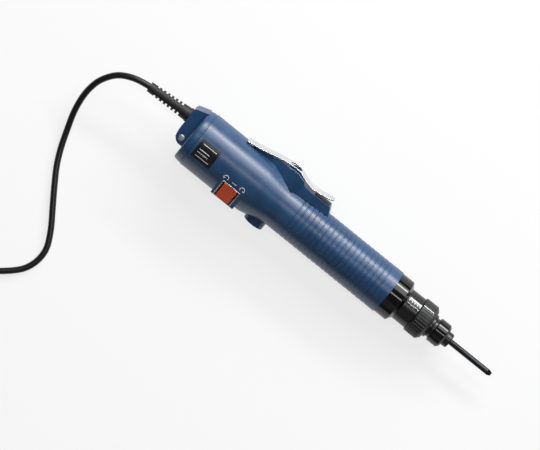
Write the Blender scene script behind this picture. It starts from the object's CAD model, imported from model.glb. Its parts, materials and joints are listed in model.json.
# Electric torque screwdriver: moulded blue body, chromed start lever, black
# turned nose with a torque scale, and a round cord wound up with its plug.
import json
from math import cos, pi, radians, sin

import bmesh
import bpy
from mathutils import Matrix, Vector


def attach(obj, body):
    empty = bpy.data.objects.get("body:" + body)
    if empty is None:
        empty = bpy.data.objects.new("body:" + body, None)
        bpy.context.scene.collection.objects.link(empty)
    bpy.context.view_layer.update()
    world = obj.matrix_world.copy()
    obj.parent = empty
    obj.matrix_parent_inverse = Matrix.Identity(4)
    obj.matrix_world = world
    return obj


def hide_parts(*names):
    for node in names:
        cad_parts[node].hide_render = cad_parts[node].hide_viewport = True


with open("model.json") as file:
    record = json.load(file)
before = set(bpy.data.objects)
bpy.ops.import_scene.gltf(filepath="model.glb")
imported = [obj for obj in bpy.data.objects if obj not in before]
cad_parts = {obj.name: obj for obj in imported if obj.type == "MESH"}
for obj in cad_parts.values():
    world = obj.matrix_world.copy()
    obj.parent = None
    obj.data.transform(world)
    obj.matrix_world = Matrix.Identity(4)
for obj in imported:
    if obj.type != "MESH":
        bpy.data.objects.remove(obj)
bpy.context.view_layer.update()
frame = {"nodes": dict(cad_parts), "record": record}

MM = 0.001
MERGE_MM = 0.001    # points closer than this are one
record = frame["record"]
nodes = frame["nodes"]
body_of_node = {n: b for b, group in record["behaviour"]["bodies"].items() for n in group}
slot_of_node = {s["node"]: s["material_slot"] for s in record["subparts"]}
mounts = {m["name"]: m for m in record["mounts"]}

# ------------------------------------------------------------- tool frame
# Z runs along the tool from the rear face of the head to the tip, Y points to
# the start lever, and -X faces up.
COLLAR_Z = 195 * MM    # how far along the tool the nose collar's mount lies
tool_z = Vector(mounts["nose_collar"]["axis"]).normalized()
tool_x = -Vector(mounts["hanger_eye"]["axis"]).normalized()
tool_y = tool_z.cross(tool_x)
rear = Vector(mounts["nose_collar"]["pos_m"]) - COLLAR_Z * tool_z
TOOL = Matrix.Translation(rear) @ Matrix((tool_x, tool_y, tool_z)).transposed().to_4x4()


def tool_point(x, y, z):
    """A point given in millimetres in the tool's own frame."""
    return TOOL @ Vector((x * MM, y * MM, z * MM))


def round_tool(angle, r, z):
    """A point on a circle about the tool axis, in millimetres and degrees."""
    return tool_point(r * cos(radians(angle)), r * sin(radians(angle)), z)


# ----------------------------------------------------------------- camera
VIEW_TURN = radians(38.9)
VIEW_AT = Vector((-33.35 * MM, -20.1 * MM, 25 * MM))
VIEW_DISTANCE = 2.5
VIEW_WIDTH = 0.405
SENSOR = 36.0
CLIP_END = 20

camera_data = bpy.data.cameras.new("camera")
camera_data.sensor_width = SENSOR
camera_data.lens = SENSOR * VIEW_DISTANCE / VIEW_WIDTH
camera_data.clip_end = CLIP_END
camera = bpy.data.objects.new("camera", camera_data)
camera.location = VIEW_AT + Vector((0, 0, VIEW_DISTANCE))
camera.rotation_euler = (0, 0, VIEW_TURN)
bpy.context.collection.objects.link(camera)
bpy.context.scene.camera = camera
bpy.context.scene.view_settings.view_transform = "Standard"

# -------------------------------------------------------------- materials
# The real textures are finer than the picture can show, so their grains are
# drawn coarser here. They are given in millimetres.
RELIEF_MM = 0.05                    # height of the finest relief
SHADE_MM = 14                       # size of the broad unevenness
NOISE_LOW, NOISE_HIGH = 0.3, 0.7    # the part of the noise's range that is used


def linear(hex_colour):
    """sRGB hex to linear RGBA."""
    parts = [int(hex_colour[i:i + 2], 16) / 255 for i in (0, 2, 4)]
    return [c / 12.92 if c <= 0.04045 else ((c + 0.055) / 1.055) ** 2.4 for c in parts] + [1]


def add(tree, kind, inputs=(), **settings):
    """Adds a node with its settings, and its inputs as values or links."""
    node = tree.nodes.new("ShaderNode" + kind)
    for name, value in settings.items():
        setattr(node, name, value)
    for name, value in dict(inputs).items():
        if isinstance(value, bpy.types.NodeSocket):
            tree.links.new(value, node.inputs[name])
        else:
            node.inputs[name].default_value = value
    return node


def ramp(tree, fac, stops):
    """A colour ramp of (place, sRGB hex) stops."""
    node = add(tree, "ValToRGB", {"Fac": fac})
    band = node.color_ramp
    while len(band.elements) < len(stops):
        band.elements.new(0.5)
    for element, (place, colour) in zip(band.elements, stops):
        element.position = place
        element.color = linear(colour)
    return node.outputs["Color"]


def surface(name, dark, light, rough, metal=0.0, grain=0.6, bump=0.1, stretch=(1, 1, 1),
            ior=None, rough_span=0.06):
    """A surface whose colour, roughness and relief vary with one grain, in millimetres."""
    mat = bpy.data.materials.new(name)
    mat.use_nodes = True
    tree = mat.node_tree
    shader = tree.nodes["Principled BSDF"]
    place = add(tree, "TexCoord").outputs["Object"]
    along = add(tree, "Mapping", {"Vector": place, "Scale": stretch}).outputs["Vector"]
    fine = add(tree, "TexNoise", {"Vector": along, "Scale": 1 / (grain * MM),
                                  "Detail": 3.0}).outputs["Fac"]
    broad = add(tree, "TexNoise", {"Vector": place, "Scale": 1 / (SHADE_MM * MM),
                                   "Detail": 2.0}).outputs["Fac"]
    mixed = add(tree, "Math", {0: fine, 1: broad}, operation="ADD").outputs[0]
    half = add(tree, "Math", {0: mixed, 1: 0.5}, operation="MULTIPLY").outputs[0]
    colour = ramp(tree, half, [(NOISE_LOW, dark), (NOISE_HIGH, light)])
    tree.links.new(colour, shader.inputs["Base Color"])
    span = add(tree, "MapRange", {"Value": half, "From Min": NOISE_LOW, "From Max": NOISE_HIGH,
                                  "To Min": rough - rough_span, "To Max": rough + rough_span})
    tree.links.new(span.outputs["Result"], shader.inputs["Roughness"])
    relief = add(tree, "Bump", {"Height": fine, "Strength": bump, "Distance": RELIEF_MM * MM})
    tree.links.new(relief.outputs["Normal"], shader.inputs["Normal"])
    shader.inputs["Metallic"].default_value = metal
    if ior:
        shader.inputs["IOR"].default_value = ior
    return mat


# grain drawn out about eight times along X, the way the tool lies
ALONG_TOOL = (0.12, 1, 1)
# glossy moulded PC/ABS: an even blue with a faint orange peel in its reflections
blue_abs = surface("moulded_blue_abs", "14345a", "214d78", 0.33, ior=1.62, grain=0.9, bump=0.03)
# foil label: flat black with a soft sheen
label_foil = surface("black_label_foil", "08080a", "101013", 0.3, ior=1.5, grain=0.5, bump=0.03)
# screen-printed white ink: chalky and slightly uneven
white_ink = surface("white_screen_ink", "d4d6d8", "f2f3f4", 0.55, grain=0.3)
# drawn steel trim: bright, with fine lengthwise scratches
bright_trim = surface("bright_steel_trim", "b9bcc0", "e4e6e8", 0.22, metal=1.0, grain=0.25,
                      stretch=ALONG_TOOL)
# moulded switch cap: warm orange red, silky
red_cap = surface("orange_red_nylon", "e24a22", "f4632f", 0.33, ior=1.5, grain=0.5, bump=0.04)
# black nylon: dull with an eroded moulding texture
black_nylon = surface("eroded_black_nylon", "101012", "1b1b1e", 0.48, grain=0.35, bump=0.3)
# rubber: deep black that scatters softly
black_rubber = surface("moulded_black_rubber", "0b0b0c", "161617", 0.52, grain=0.5, bump=0.25)
# PVC sheath: smooth extruded black, faintly wavy
pvc_sheath = surface("extruded_pvc_sheath", "060607", "0e0e0f", 0.34, grain=1.2, bump=0.08)
# chromed pressed steel: mirror-like with light handling marks
chrome = surface("chromed_pressed_steel", "c8cbd0", "f0f2f5", 0.13, metal=1.0, grain=0.5,
                 bump=0.05, rough_span=0.05, stretch=ALONG_TOOL)
# black enamel on turned metal: deep gloss, near a mirror
black_enamel = surface("black_gloss_enamel", "050506", "0a0a0b", 0.1, grain=0.7, bump=0.02,
                       rough_span=0.03)
# black oxide on steel: near black, satin
black_oxide = surface("black_oxide_steel", "0b0b0c", "161617", 0.3, grain=0.4, bump=0.04)
# enamel on the ribbed ring: dull and a little uneven from handling
ring_enamel = surface("worn_matt_enamel", "0e0e0f", "1a1a1b", 0.42, grain=0.6, bump=0.15)
# hardened tool steel: dark grey, ground round
bit_steel = surface("ground_tool_steel", "2c2d2f", "454648", 0.34, metal=1.0, grain=0.3,
                    bump=0.02, stretch=ALONG_TOOL)
# machined steel: grey, with a fine uneven grain
steel = surface("machined_steel", "8d9095", "b4b7bb", 0.28, metal=1.0, grain=0.2)
# zinc plating on steel: pale grey and slightly dull
zinc = surface("zinc_plated_steel", "8f9296", "bfc2c5", 0.35, metal=1.0, grain=0.3)
# nickel plating on brass: bright, a little warm
nickel = surface("nickel_plated_brass", "a9a9a6", "d0d0cc", 0.2, metal=1.0, grain=0.4)
# gold plating: warm yellow with a clear shine
gold = surface("gold_plated_contact", "c9a04a", "e6c26c", 0.2, metal=1.0, grain=0.3)
# natural acetal: milky white, waxy
white_acetal = surface("natural_acetal", "d8d5cb", "ece9e0", 0.42, grain=0.5)
# glass laminate under green lacquer: satin, with a faint weave-like relief
laminate = surface("green_glass_laminate", "12452a", "1c5c38", 0.4, grain=0.4, bump=0.2)
# sintered ferrite: matt charcoal, slightly gritty
ferrite = surface("sintered_ferrite", "242426", "343437", 0.6, grain=0.3, bump=0.3)
# enamelled copper wire: red-brown with a metal shine
copper = surface("enamelled_copper", "8e4a26", "b7673b", 0.3, metal=1.0, grain=0.5)
# turned brass: yellow, with a soft shine
brass = surface("turned_brass", "a9823e", "cda659", 0.28, metal=1.0, grain=0.3)
# pressed graphite: near black, dull
graphite = surface("pressed_graphite", "18181a", "262628", 0.5, grain=0.2, bump=0.2)
# die-cast zinc: light grey with a dull cast skin
die_cast = surface("die_cast_zinc", "8c8f92", "a6a9ad", 0.42, metal=1.0, grain=0.4)
# moulded thermoset: opaque cream, dull
thermoset = surface("cream_thermoset", "a8a083", "bdb597", 0.5, grain=0.6)

FINISH = {
    "blue_housing": blue_abs, "black_print": label_foil, "silver_trim": bright_trim,
    "red_rocker": red_cap, "black_plastic": black_nylon, "black_rubber": black_rubber,
    "cord_sheath": pvc_sheath, "chromed_lever": chrome, "black_gloss_metal": black_enamel,
    "black_oxide": black_oxide, "knurl_black": ring_enamel, "bit_steel": bit_steel,
    "steel": steel, "zinc_screw": zinc, "nickel_shell": nickel, "gold_contact": gold,
    "white_plastic": white_acetal, "circuit_board": laminate, "magnet": ferrite,
    "copper": copper, "brass": brass, "carbon": graphite, "zinc_case": die_cast,
    "bell_plastic": thermoset,
}


# ------------------------------------------------------------------ pieces
def piece(name, bm, material, body="tool_body"):
    """A finished mesh piece that rides on a CAD body."""
    mesh = bpy.data.meshes.new(name)
    bm.to_mesh(mesh)
    bm.free()
    mesh.materials.append(material)
    obj = bpy.data.objects.new(name, mesh)
    bpy.context.collection.objects.link(obj)
    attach(obj, body)
    return obj


def smooth_faces(bm, limit=30):
    """Smooth faces with sharp edges where the surface turns by more than the limit."""
    for face in bm.faces:
        face.smooth = True
    for edge in bm.edges:
        if edge.is_manifold and edge.calc_face_angle(0) > radians(limit):
            edge.smooth = False


EDGE_ANGLE = 40    # an edge that turns by more than this is rounded


def dress(node, edge_mm):
    """A copy of a CAD node with its doubles merged and its sharp edges rounded stands for it."""
    bm = bmesh.new()
    bm.from_mesh(nodes[node].data)
    bmesh.ops.remove_doubles(bm, verts=bm.verts, dist=MERGE_MM * MM)
    smooth_faces(bm)
    slot = slot_of_node[node]
    obj = piece(node + "_finished", bm, FINISH[slot], body_of_node[node])
    if edge_mm:
        bevel = obj.modifiers.new("edge_rounding", "BEVEL")
        bevel.width = edge_mm * MM
        bevel.segments = 2
        bevel.limit_method = "ANGLE"
        bevel.angle_limit = radians(EDGE_ANGLE)
        bevel.harden_normals = True
        bevel.use_clamp_overlap = True
    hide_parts(node)
    return obj


# -------------------------------------------------------------------- cord
# the run is given in millimetres from PLACE: down from the relief to the
# table, over it to the coil, and out of the coil to the plug
PLACE = Vector((-122, -3.3, 0))
RELIEF_Y, RELIEF_BACK, RELIEF_LEAN = 9.6, -9.75, radians(3.2)
RELIEF_OUT = (30, 38)    # the cord's first two points, from the relief's root
CORD_D = 5.0
COIL_AT = PLACE + Vector((-106, -182, 0))
COIL_R, TURN_GAP = 28.0, 5.2
CORD_RUN = [(-60, 4.6, 28.8), (-71, -1.4, 26.4), (-78.4, -11.4, 22.4), (-81.4, -21.5, 17.6),
            (-81.8, -32, 12.6), (-80, -44, 7.8), (-76, -57, 4.4), (-71, -71, 2.8),
            (-65, -83.5, 2.5), (-56.6, -96.7, 2.5), (-47.8, -109.6, 2.5), (-37.7, -124.6, 2.5),
            (-31.4, -139, 2.5), (-33, -154, 2.5), (-42.2, -166.7, 2.5), (-65.5, -185.5, 2.5)]
TAIL_RUN = [(-140, -187.5, 6.2), (-146.5, -178.4, 6.3), (-153.2, -169.6, 7.5), (-158.9, -161.2, 8.4),
            (-164.2, -153.8, 8.5)]
# cells of the winding (radius offset, height) in turns, in the order the cord
# fills them, and how much sooner than a full turn each change of cell comes
LOW = CORD_D / 2
TOP_ROW = 2.9
CELLS = [(0, 0), (-1, 0), (-1, 1), (-1, 2), (-0.5, TOP_ROW), (0.5, TOP_ROW), (1, 2), (0, 2),
         (0, 1), (1, 1)]
SOONER = [0, 30, 0, 10, 20, 20, 60, 30, 30]
CHANGE = 60.0                      # degrees that a change of cell takes
COIL_IN, COIL_OUT = -50.5, 87.5    # where the cord enters, and how far past a full turn it leaves


def relief_point(distance):
    """A point that far out along the strain relief's leaning axis."""
    return tool_point(0, RELIEF_Y - distance * sin(RELIEF_LEAN),
                      RELIEF_BACK - distance * cos(RELIEF_LEAN))


def winding(step=15.0):
    """Points of the wound cord, each turn beside or on the one before."""
    starts, at = [], 360.0 - CHANGE
    for sooner in SOONER:
        at -= sooner
        starts.append(at)
        at += 360
    end = 360.0 * (len(CELLS) - 1) + COIL_OUT
    out, sweep = [], 0.0
    while sweep <= end + 0.01:
        k = sum(1 for s in starts if sweep >= s)
        r, h = CELLS[k]
        if k and sweep < starts[k - 1] + CHANGE:
            t = (1 - cos(pi * (sweep - starts[k - 1]) / CHANGE)) / 2
            r = CELLS[k - 1][0] + t * (r - CELLS[k - 1][0])
            h = CELLS[k - 1][1] + t * (h - CELLS[k - 1][1])
        angle = radians(COIL_IN - sweep)
        radius = COIL_R + r * TURN_GAP
        at = Vector((radius * cos(angle), radius * sin(angle), LOW + h * TURN_GAP))
        out.append(MM * (COIL_AT + at))
        sweep += step
    return out


cord_points = [relief_point(distance) for distance in RELIEF_OUT]
cord_points += [MM * (PLACE + Vector(p)) for p in CORD_RUN]
cord_points += winding()
cord_points += [MM * (PLACE + Vector(p)) for p in TAIL_RUN]


def smooth_line(points, parts=4):
    """Points of a smooth curve through all given points."""
    out = []
    for i in range(len(points) - 1):
        a, b = points[max(i - 1, 0)], points[i]
        c, d = points[i + 1], points[min(i + 2, len(points) - 1)]
        for k in range(parts):
            t = k / parts
            out.append(0.5 * (2 * b + (c - a) * t + (2 * a - 5 * b + 4 * c - d) * t * t
                              + (3 * b - a - 3 * c + d) * t * t * t))
    return out + [points[-1]]


cord_line = smooth_line(cord_points)
cord_data = bpy.data.curves.new("wound_cord", "CURVE")
cord_data.dimensions = "3D"
cord_data.bevel_depth = CORD_D / 2 * MM
cord_data.bevel_resolution = 6
cord_data.use_fill_caps = True
spline = cord_data.splines.new("POLY")
spline.points.add(len(cord_line) - 1)
for point, at in zip(spline.points, cord_line):
    point.co = (*at, 1)
spline.use_smooth = True
cord_data.materials.append(pvc_sheath)
cord = bpy.data.objects.new("wound_cord", cord_data)
bpy.context.collection.objects.link(cord)
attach(cord, "tool_body")
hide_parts("supply_cord", "cord_coil")

# -------------------------------------------------- pieces from the CAD nodes
# how far the sharp edges of each are rounded, in millimetres
ROUNDED = {
    "housing_left": 0.35, "housing_right": 0.35, "label_plate": 0.1, "switch_bezel": 0.2,
    "direction_rocker": 0.35, "start_lever": 0.25, "strain_relief": 0.3, "brush_caps": 0.3,
    "front_collar": 0.3, "scale_sleeve": 0.25, "torque_ring": 0.2, "release_sleeve": 0.25,
    "bit_holder": 0.2, "driver_bit": 0.12, "plug_boot": 0.4, "plug_shell": 0.25,
    "plug_insert": 0.15, "lever_pad": 0.15, "housing_screws": 0.12,
}
MADE_ANEW = ("supply_cord", "cord_coil", "cord_tie")
dressed = {n: dress(n, edge) for n, edge in ROUNDED.items()}
for n in nodes:
    if n not in ROUNDED and n not in MADE_ANEW:
        dressed[n] = dress(n, 0)

# hook-and-loop strap round the wound cord: its cross-section follows the
# winding, flat below and bevelled at the crown
TIE_AT, TIE_W, TIE_T = radians(200), 9.0, 0.9
TIE_CLEAR, TIE_LOW, TIE_SHOULDER, TIE_BEVEL = 0.1, 0.95, 15.4, 2.2
TIE_SMOOTH = 80
WIND_HALF = TURN_GAP + CORD_D / 2 + TIE_CLEAR
CROWN = LOW + TOP_ROW * TURN_GAP + CORD_D / 2 + TIE_CLEAR
tie_line = [(-WIND_HALF, TIE_LOW), (WIND_HALF, TIE_LOW), (WIND_HALF, TIE_SHOULDER),
            (WIND_HALF - TIE_BEVEL, CROWN), (TIE_BEVEL - WIND_HALF, CROWN),
            (-WIND_HALF, TIE_SHOULDER)]
bm = bmesh.new()
outline = [bm.verts.new(((COIL_R + r) * MM, -TIE_W / 2 * MM, z * MM)) for r, z in tie_line]
loop = [bm.edges.new((a, b)) for a, b in zip(outline, outline[1:] + outline[:1])]
wide = bmesh.ops.extrude_edge_only(bm, edges=loop)["geom"]
bmesh.ops.translate(bm, verts=[v for v in wide if isinstance(v, bmesh.types.BMVert)],
                    vec=(0, TIE_W * MM, 0))
bmesh.ops.recalc_face_normals(bm, faces=bm.faces)
turn = Matrix.Translation(COIL_AT * MM) @ Matrix.Rotation(TIE_AT, 4, "Z")
bmesh.ops.transform(bm, matrix=turn, verts=bm.verts)
smooth_faces(bm, TIE_SMOOTH)
tie = piece("coil_strap", bm, black_rubber)
wall = tie.modifiers.new("strap_thickness", "SOLIDIFY")
wall.thickness = TIE_T * MM
wall.offset = 1.0
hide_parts("cord_tie")


# ------------------------------------------------------- printed markings
PRINT_LIFT, PRINT_THICK = 0.03, 0.06
FIGURE_LIFT = 0.04


def on_cylinder(bm, radius, angle, z, lift=PRINT_LIFT):
    """Bends a flat drawing onto the tool: its x goes round the tool and its y along it."""
    for v in bm.verts:
        a = radians(angle) + v.co.x / radius
        r = radius + lift + v.co.z
        v.co = tool_point(r * cos(a), r * sin(a), z + v.co.y)


def stroke(bm, line, width, thick=PRINT_THICK):
    """A printed line of that width through flat points, in millimetres."""
    left, right = [], []
    for i, p in enumerate(line):
        a, b = line[max(i - 1, 0)], line[min(i + 1, len(line) - 1)]
        n = Vector((a[1] - b[1], b[0] - a[0])).normalized() * width / 2
        left.append(bm.verts.new((p[0] + n.x, p[1] + n.y, 0)))
        right.append(bm.verts.new((p[0] - n.x, p[1] - n.y, 0)))
    faces = []
    for i in range(len(line) - 1):
        faces.append(bm.faces.new((right[i], right[i + 1], left[i + 1], left[i])))
    up = bmesh.ops.extrude_face_region(bm, geom=faces)["geom"]
    bmesh.ops.translate(bm, verts=[v for v in up if isinstance(v, bmesh.types.BMVert)],
                        vec=(0, 0, thick))


def arc(r, a0, a1, parts=14):
    """Points of an arc about the middle of the drawing, its ends in degrees."""
    angles = [radians(a0 + (a1 - a0) * k / parts) for k in range(parts + 1)]
    return [(r * cos(a), r * sin(a)) for a in angles]


def printed(name, lines, width, radius, angle, z, body="tool_body"):
    """White strokes printed round the tool at that radius, angle and place along it."""
    bm = bmesh.new()
    for line in lines:
        stroke(bm, line, width)
    bmesh.ops.recalc_face_normals(bm, faces=bm.faces)
    on_cylinder(bm, radius, angle, z)
    return piece(name, bm, white_ink, body)


# turning direction marks beside the rocker: two arrows and a plain stroke
HEAD_R = 23.2
MARK_ANGLE, MARK_STROKE, STOP_Z = 190.5, 0.62, 48
ARROW_R, ARROW_FROM, ARROW_TO = 1.9, 50, 310
ARROW_HEAD = [(-0.9, -0.9), (0.1, 0), (-1.1, 0.9)]    # from the end of the arc
for name, z, flip in (("mark_reverse", 40.5, -1), ("mark_forward", 55.5, 1)):
    curve = [(x, flip * y) for x, y in arc(ARROW_R, ARROW_FROM, ARROW_TO)]
    end_x, end_y = curve[0]
    head = [(end_x + x, end_y + flip * y) for x, y in ARROW_HEAD]
    printed(name, [curve, head], MARK_STROKE, HEAD_R, MARK_ANGLE, z)
printed("mark_stop", [[(0, -2), (0, 0), (0, 2)]], MARK_STROKE, HEAD_R, MARK_ANGLE, STOP_Z)

# plain rules on the rear label, with no words: place across, start and length
LABEL_R, LABEL_ANGLE, LABEL_Z, LABEL_STROKE = 23.2, 180, 17.6, 0.5
RULES = ((5.4, -6.2, 12.4), (2.2, -6.2, 9.5), (-0.4, -6.2, 9.5), (-5.2, -6.2, 12.4))
rules = [[(x, y), (x, y + length / 2), (x, y + length)] for x, y, length in RULES]
printed("label_rules", rules, LABEL_STROKE, LABEL_R, LABEL_ANGLE, LABEL_Z)

# torque scale: a stem with graduations and figures, and an index on the ring
SCALE_R, SCALE_ANGLE, SCALE_Z, STEM_STROKE = 13.4, 133, 210, 0.9
SCALE_FROM, SCALE_TO = 204.6, 215.2
stem = [[(0, SCALE_FROM - SCALE_Z), (0, 0), (0, SCALE_TO - SCALE_Z)]]
printed("scale_line", stem, STEM_STROKE, SCALE_R, SCALE_ANGLE, SCALE_Z)
TICKS, TICK_FIRST, TICK_PITCH, TICK_STROKE = 9, -5.0, 1.2, 0.65
TICK_ENDS = (2.6, 1.6)    # long and short by turns
ticks = []
for k in range(TICKS):
    y = TICK_FIRST + TICK_PITCH * k
    ticks.append([(0, y), (1.0, y), (TICK_ENDS[k % 2], y)])
printed("scale_ticks", ticks, TICK_STROKE, SCALE_R, SCALE_ANGLE, SCALE_Z)


def figures(name, text, size, radius, angle, z):
    """A figure printed on the tool, reading from the tip side."""
    data = bpy.data.curves.new(name, "FONT")
    data.body = text
    data.size = size
    data.align_x = "CENTER"
    data.align_y = "CENTER"
    data.extrude = PRINT_THICK / 2
    made = bpy.data.objects.new(name, data)
    bpy.context.collection.objects.link(made)
    bpy.context.view_layer.update()
    solid = made.evaluated_get(bpy.context.evaluated_depsgraph_get())
    mesh = bpy.data.meshes.new_from_object(solid)
    bpy.data.objects.remove(made)
    bm = bmesh.new()
    bm.from_mesh(mesh)
    bmesh.ops.remove_doubles(bm, verts=bm.verts, dist=MERGE_MM)
    bmesh.ops.recalc_face_normals(bm, faces=bm.faces)
    on_cylinder(bm, radius, angle, z, lift=FIGURE_LIFT)
    return piece(name, bm, white_ink)


FIGURE_SIZE, FIGURE_ANGLE = 3.3, SCALE_ANGLE + 19
FIGURE_FIRST, FIGURE_PITCH = 205.6, 2.75
for k in range(4):
    value = 2 * k + 1
    figures(f"scale_figure_{value}", str(value), FIGURE_SIZE, SCALE_R, FIGURE_ANGLE,
            FIGURE_FIRST + FIGURE_PITCH * k)

RING_R, INDEX_ANGLE, INDEX_Z, INDEX_STROKE = 14.8, 129, 221.2, 0.7
printed("ring_index", [[(0, -5), (0, 0), (0, 4.4)]], INDEX_STROKE, RING_R, INDEX_ANGLE, INDEX_Z,
        body="torque_ring")

# ------------------------------------------------------- floor and lights
# white paper that also glows a little to the eye and in reflections, so that
# it stays even while the tool still throws its shadow on it
FLOOR_SIZE = 6
GLOW_SHARE = 0.75
bm = bmesh.new()
bmesh.ops.create_grid(bm, x_segments=1, y_segments=1, size=FLOOR_SIZE)
floor_mesh = bpy.data.meshes.new("table_top")
bm.to_mesh(floor_mesh)
bm.free()
floor = bpy.data.objects.new("table_top", floor_mesh)
bpy.context.collection.objects.link(floor)
floor_mat = bpy.data.materials.new("white_table_top")
floor_mat.use_nodes = True
tree = floor_mat.node_tree
paper = tree.nodes["Principled BSDF"]
paper.inputs["Base Color"].default_value = linear("f0f0f0")
paper.inputs["Roughness"].default_value = 0.9
glow = add(tree, "Emission", {"Color": (1, 1, 1, 1), "Strength": 1.0})
path = add(tree, "LightPath")
seen = add(tree, "Math", {0: path.outputs["Is Camera Ray"], 1: path.outputs["Is Glossy Ray"]},
           operation="MAXIMUM")
seen_any = add(tree, "Math", {0: seen.outputs[0], 1: path.outputs["Is Transmission Ray"]},
               operation="MAXIMUM")
share = add(tree, "Math", {0: seen_any.outputs[0], 1: GLOW_SHARE}, operation="MULTIPLY")
blend = add(tree, "MixShader", {0: share.outputs[0], 1: paper.outputs["BSDF"],
                                2: glow.outputs["Emission"]})
tree.links.new(blend.outputs["Shader"], tree.nodes["Material Output"].inputs["Surface"])
floor_mesh.materials.append(floor_mat)

SKY_STRENGTH = 0.1
world = bpy.data.worlds.new("studio")
bpy.context.scene.world = world
world.use_nodes = True
sky = world.node_tree.nodes["Background"]
sky.inputs["Color"].default_value = (1, 1, 1, 1)
sky.inputs["Strength"].default_value = SKY_STRENGTH


def strip_light(name, toward, wide, long, power, distance=1.6):
    """A soft strip parallel to the tool, that many degrees from straight up to the lever side."""
    data = bpy.data.lights.new(name, "AREA")
    data.shape = "RECTANGLE"
    data.size = long
    data.size_y = wide
    data.energy = power
    obj = bpy.data.objects.new(name, data)
    a = radians(toward)
    obj.location = Vector((0, sin(a) * distance, cos(a) * distance))
    obj.rotation_euler = (-a, 0, 0)
    obj.visible_camera = False
    bpy.context.collection.objects.link(obj)


# name, degrees toward the lever, width and length in metres, and watts: two
# narrow strips draw the highlights and two broad ones fill the shade
strip_light("key_strip", 59, 0.16, 1.6, 17)
strip_light("top_strip", 6, 0.11, 1.6, 5)
strip_light("broad_key", 52, 1.2, 1.8, 22)
strip_light("low_fill", -50, 1.2, 1.6, 1, distance=2.0)
